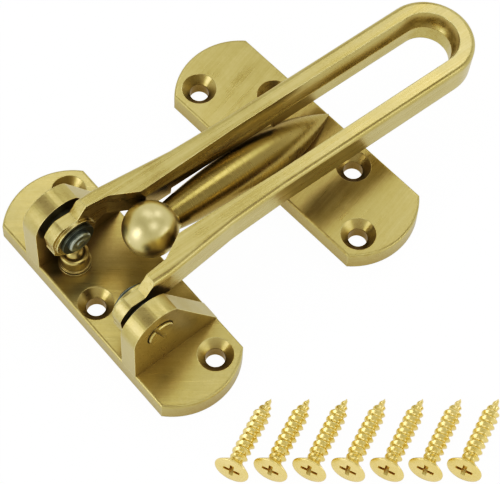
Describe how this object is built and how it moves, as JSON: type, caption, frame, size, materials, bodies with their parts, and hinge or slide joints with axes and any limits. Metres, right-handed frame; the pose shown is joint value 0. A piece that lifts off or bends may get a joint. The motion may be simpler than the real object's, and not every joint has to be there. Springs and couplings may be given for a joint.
{
  "type": "door chain guard",
  "caption": "Solid brass swing bar door guard: looped bar pivoting between two ears on an arched hinge plate, ball post on a matching strike plate, countersunk wood screws alongside.",
  "frame": {"origin": "centre of the back mounting face of the hinge plate", "axes": "+Z out of the mounting surface; +X from the hinge plate along the closed swing bar to its loop end; +Y along the plates' length, to the left when looking along +X from above"},
  "size_m": [0.1394, 0.1502, 0.0337],
  "materials": {
    "hinge_plate": "satin, brushed",
    "pivot_pin": "satin",
    "washer": "dark gunmetal",
    "spacer": "dark gunmetal",
    "detent": "satin",
    "spring": "drawn wire",
    "swing_bar": "satin, brushed lengthwise",
    "strike_plate": "satin, brushed",
    "ball_post": "satin post, smooth ball",
    "screw": "bright"
  },
  "bodies": {
    "mounting": {"hinge_plate": "hinge_plate", "ear_left": "hinge_plate", "ear_right": "hinge_plate", "pivot_pin_left": "pivot_pin", "pivot_pin_right": "pivot_pin", "pin_washer_left": "washer", "pin_washer_right": "washer", "spacer_left": "spacer", "spacer_right": "spacer", "detent_sleeve": "detent", "detent_spring": "spring", "detent_plug": "detent", "strike_plate": "strike_plate", "ball_post": "ball_post", "wood_screw_1": "screw", "wood_screw_2": "screw", "wood_screw_3": "screw", "wood_screw_4": "screw", "wood_screw_5": "screw", "wood_screw_6": "screw", "wood_screw_7": "screw"},
    "swing_bar": {"swing_bar": "swing_bar"},
    "detent_plunger": {"detent_plunger": "detent"}
  },
  "joints": [
    {"name": "bar_swing", "type": "hinge", "parent": "mounting", "child": "swing_bar", "pos_m": [-0.00547, 0, 0.0229], "axis": [0, -1, 0], "range_deg": [0, 180]},
    {"name": "detent_press", "type": "slide", "parent": "mounting", "child": "detent_plunger", "axis": [0, 0, 1], "range_m": [0, 0.0008], "stiffness_N_per_m": 800, "springref_m": 0.002, "deforming": ["detent_spring"]}
  ]
}
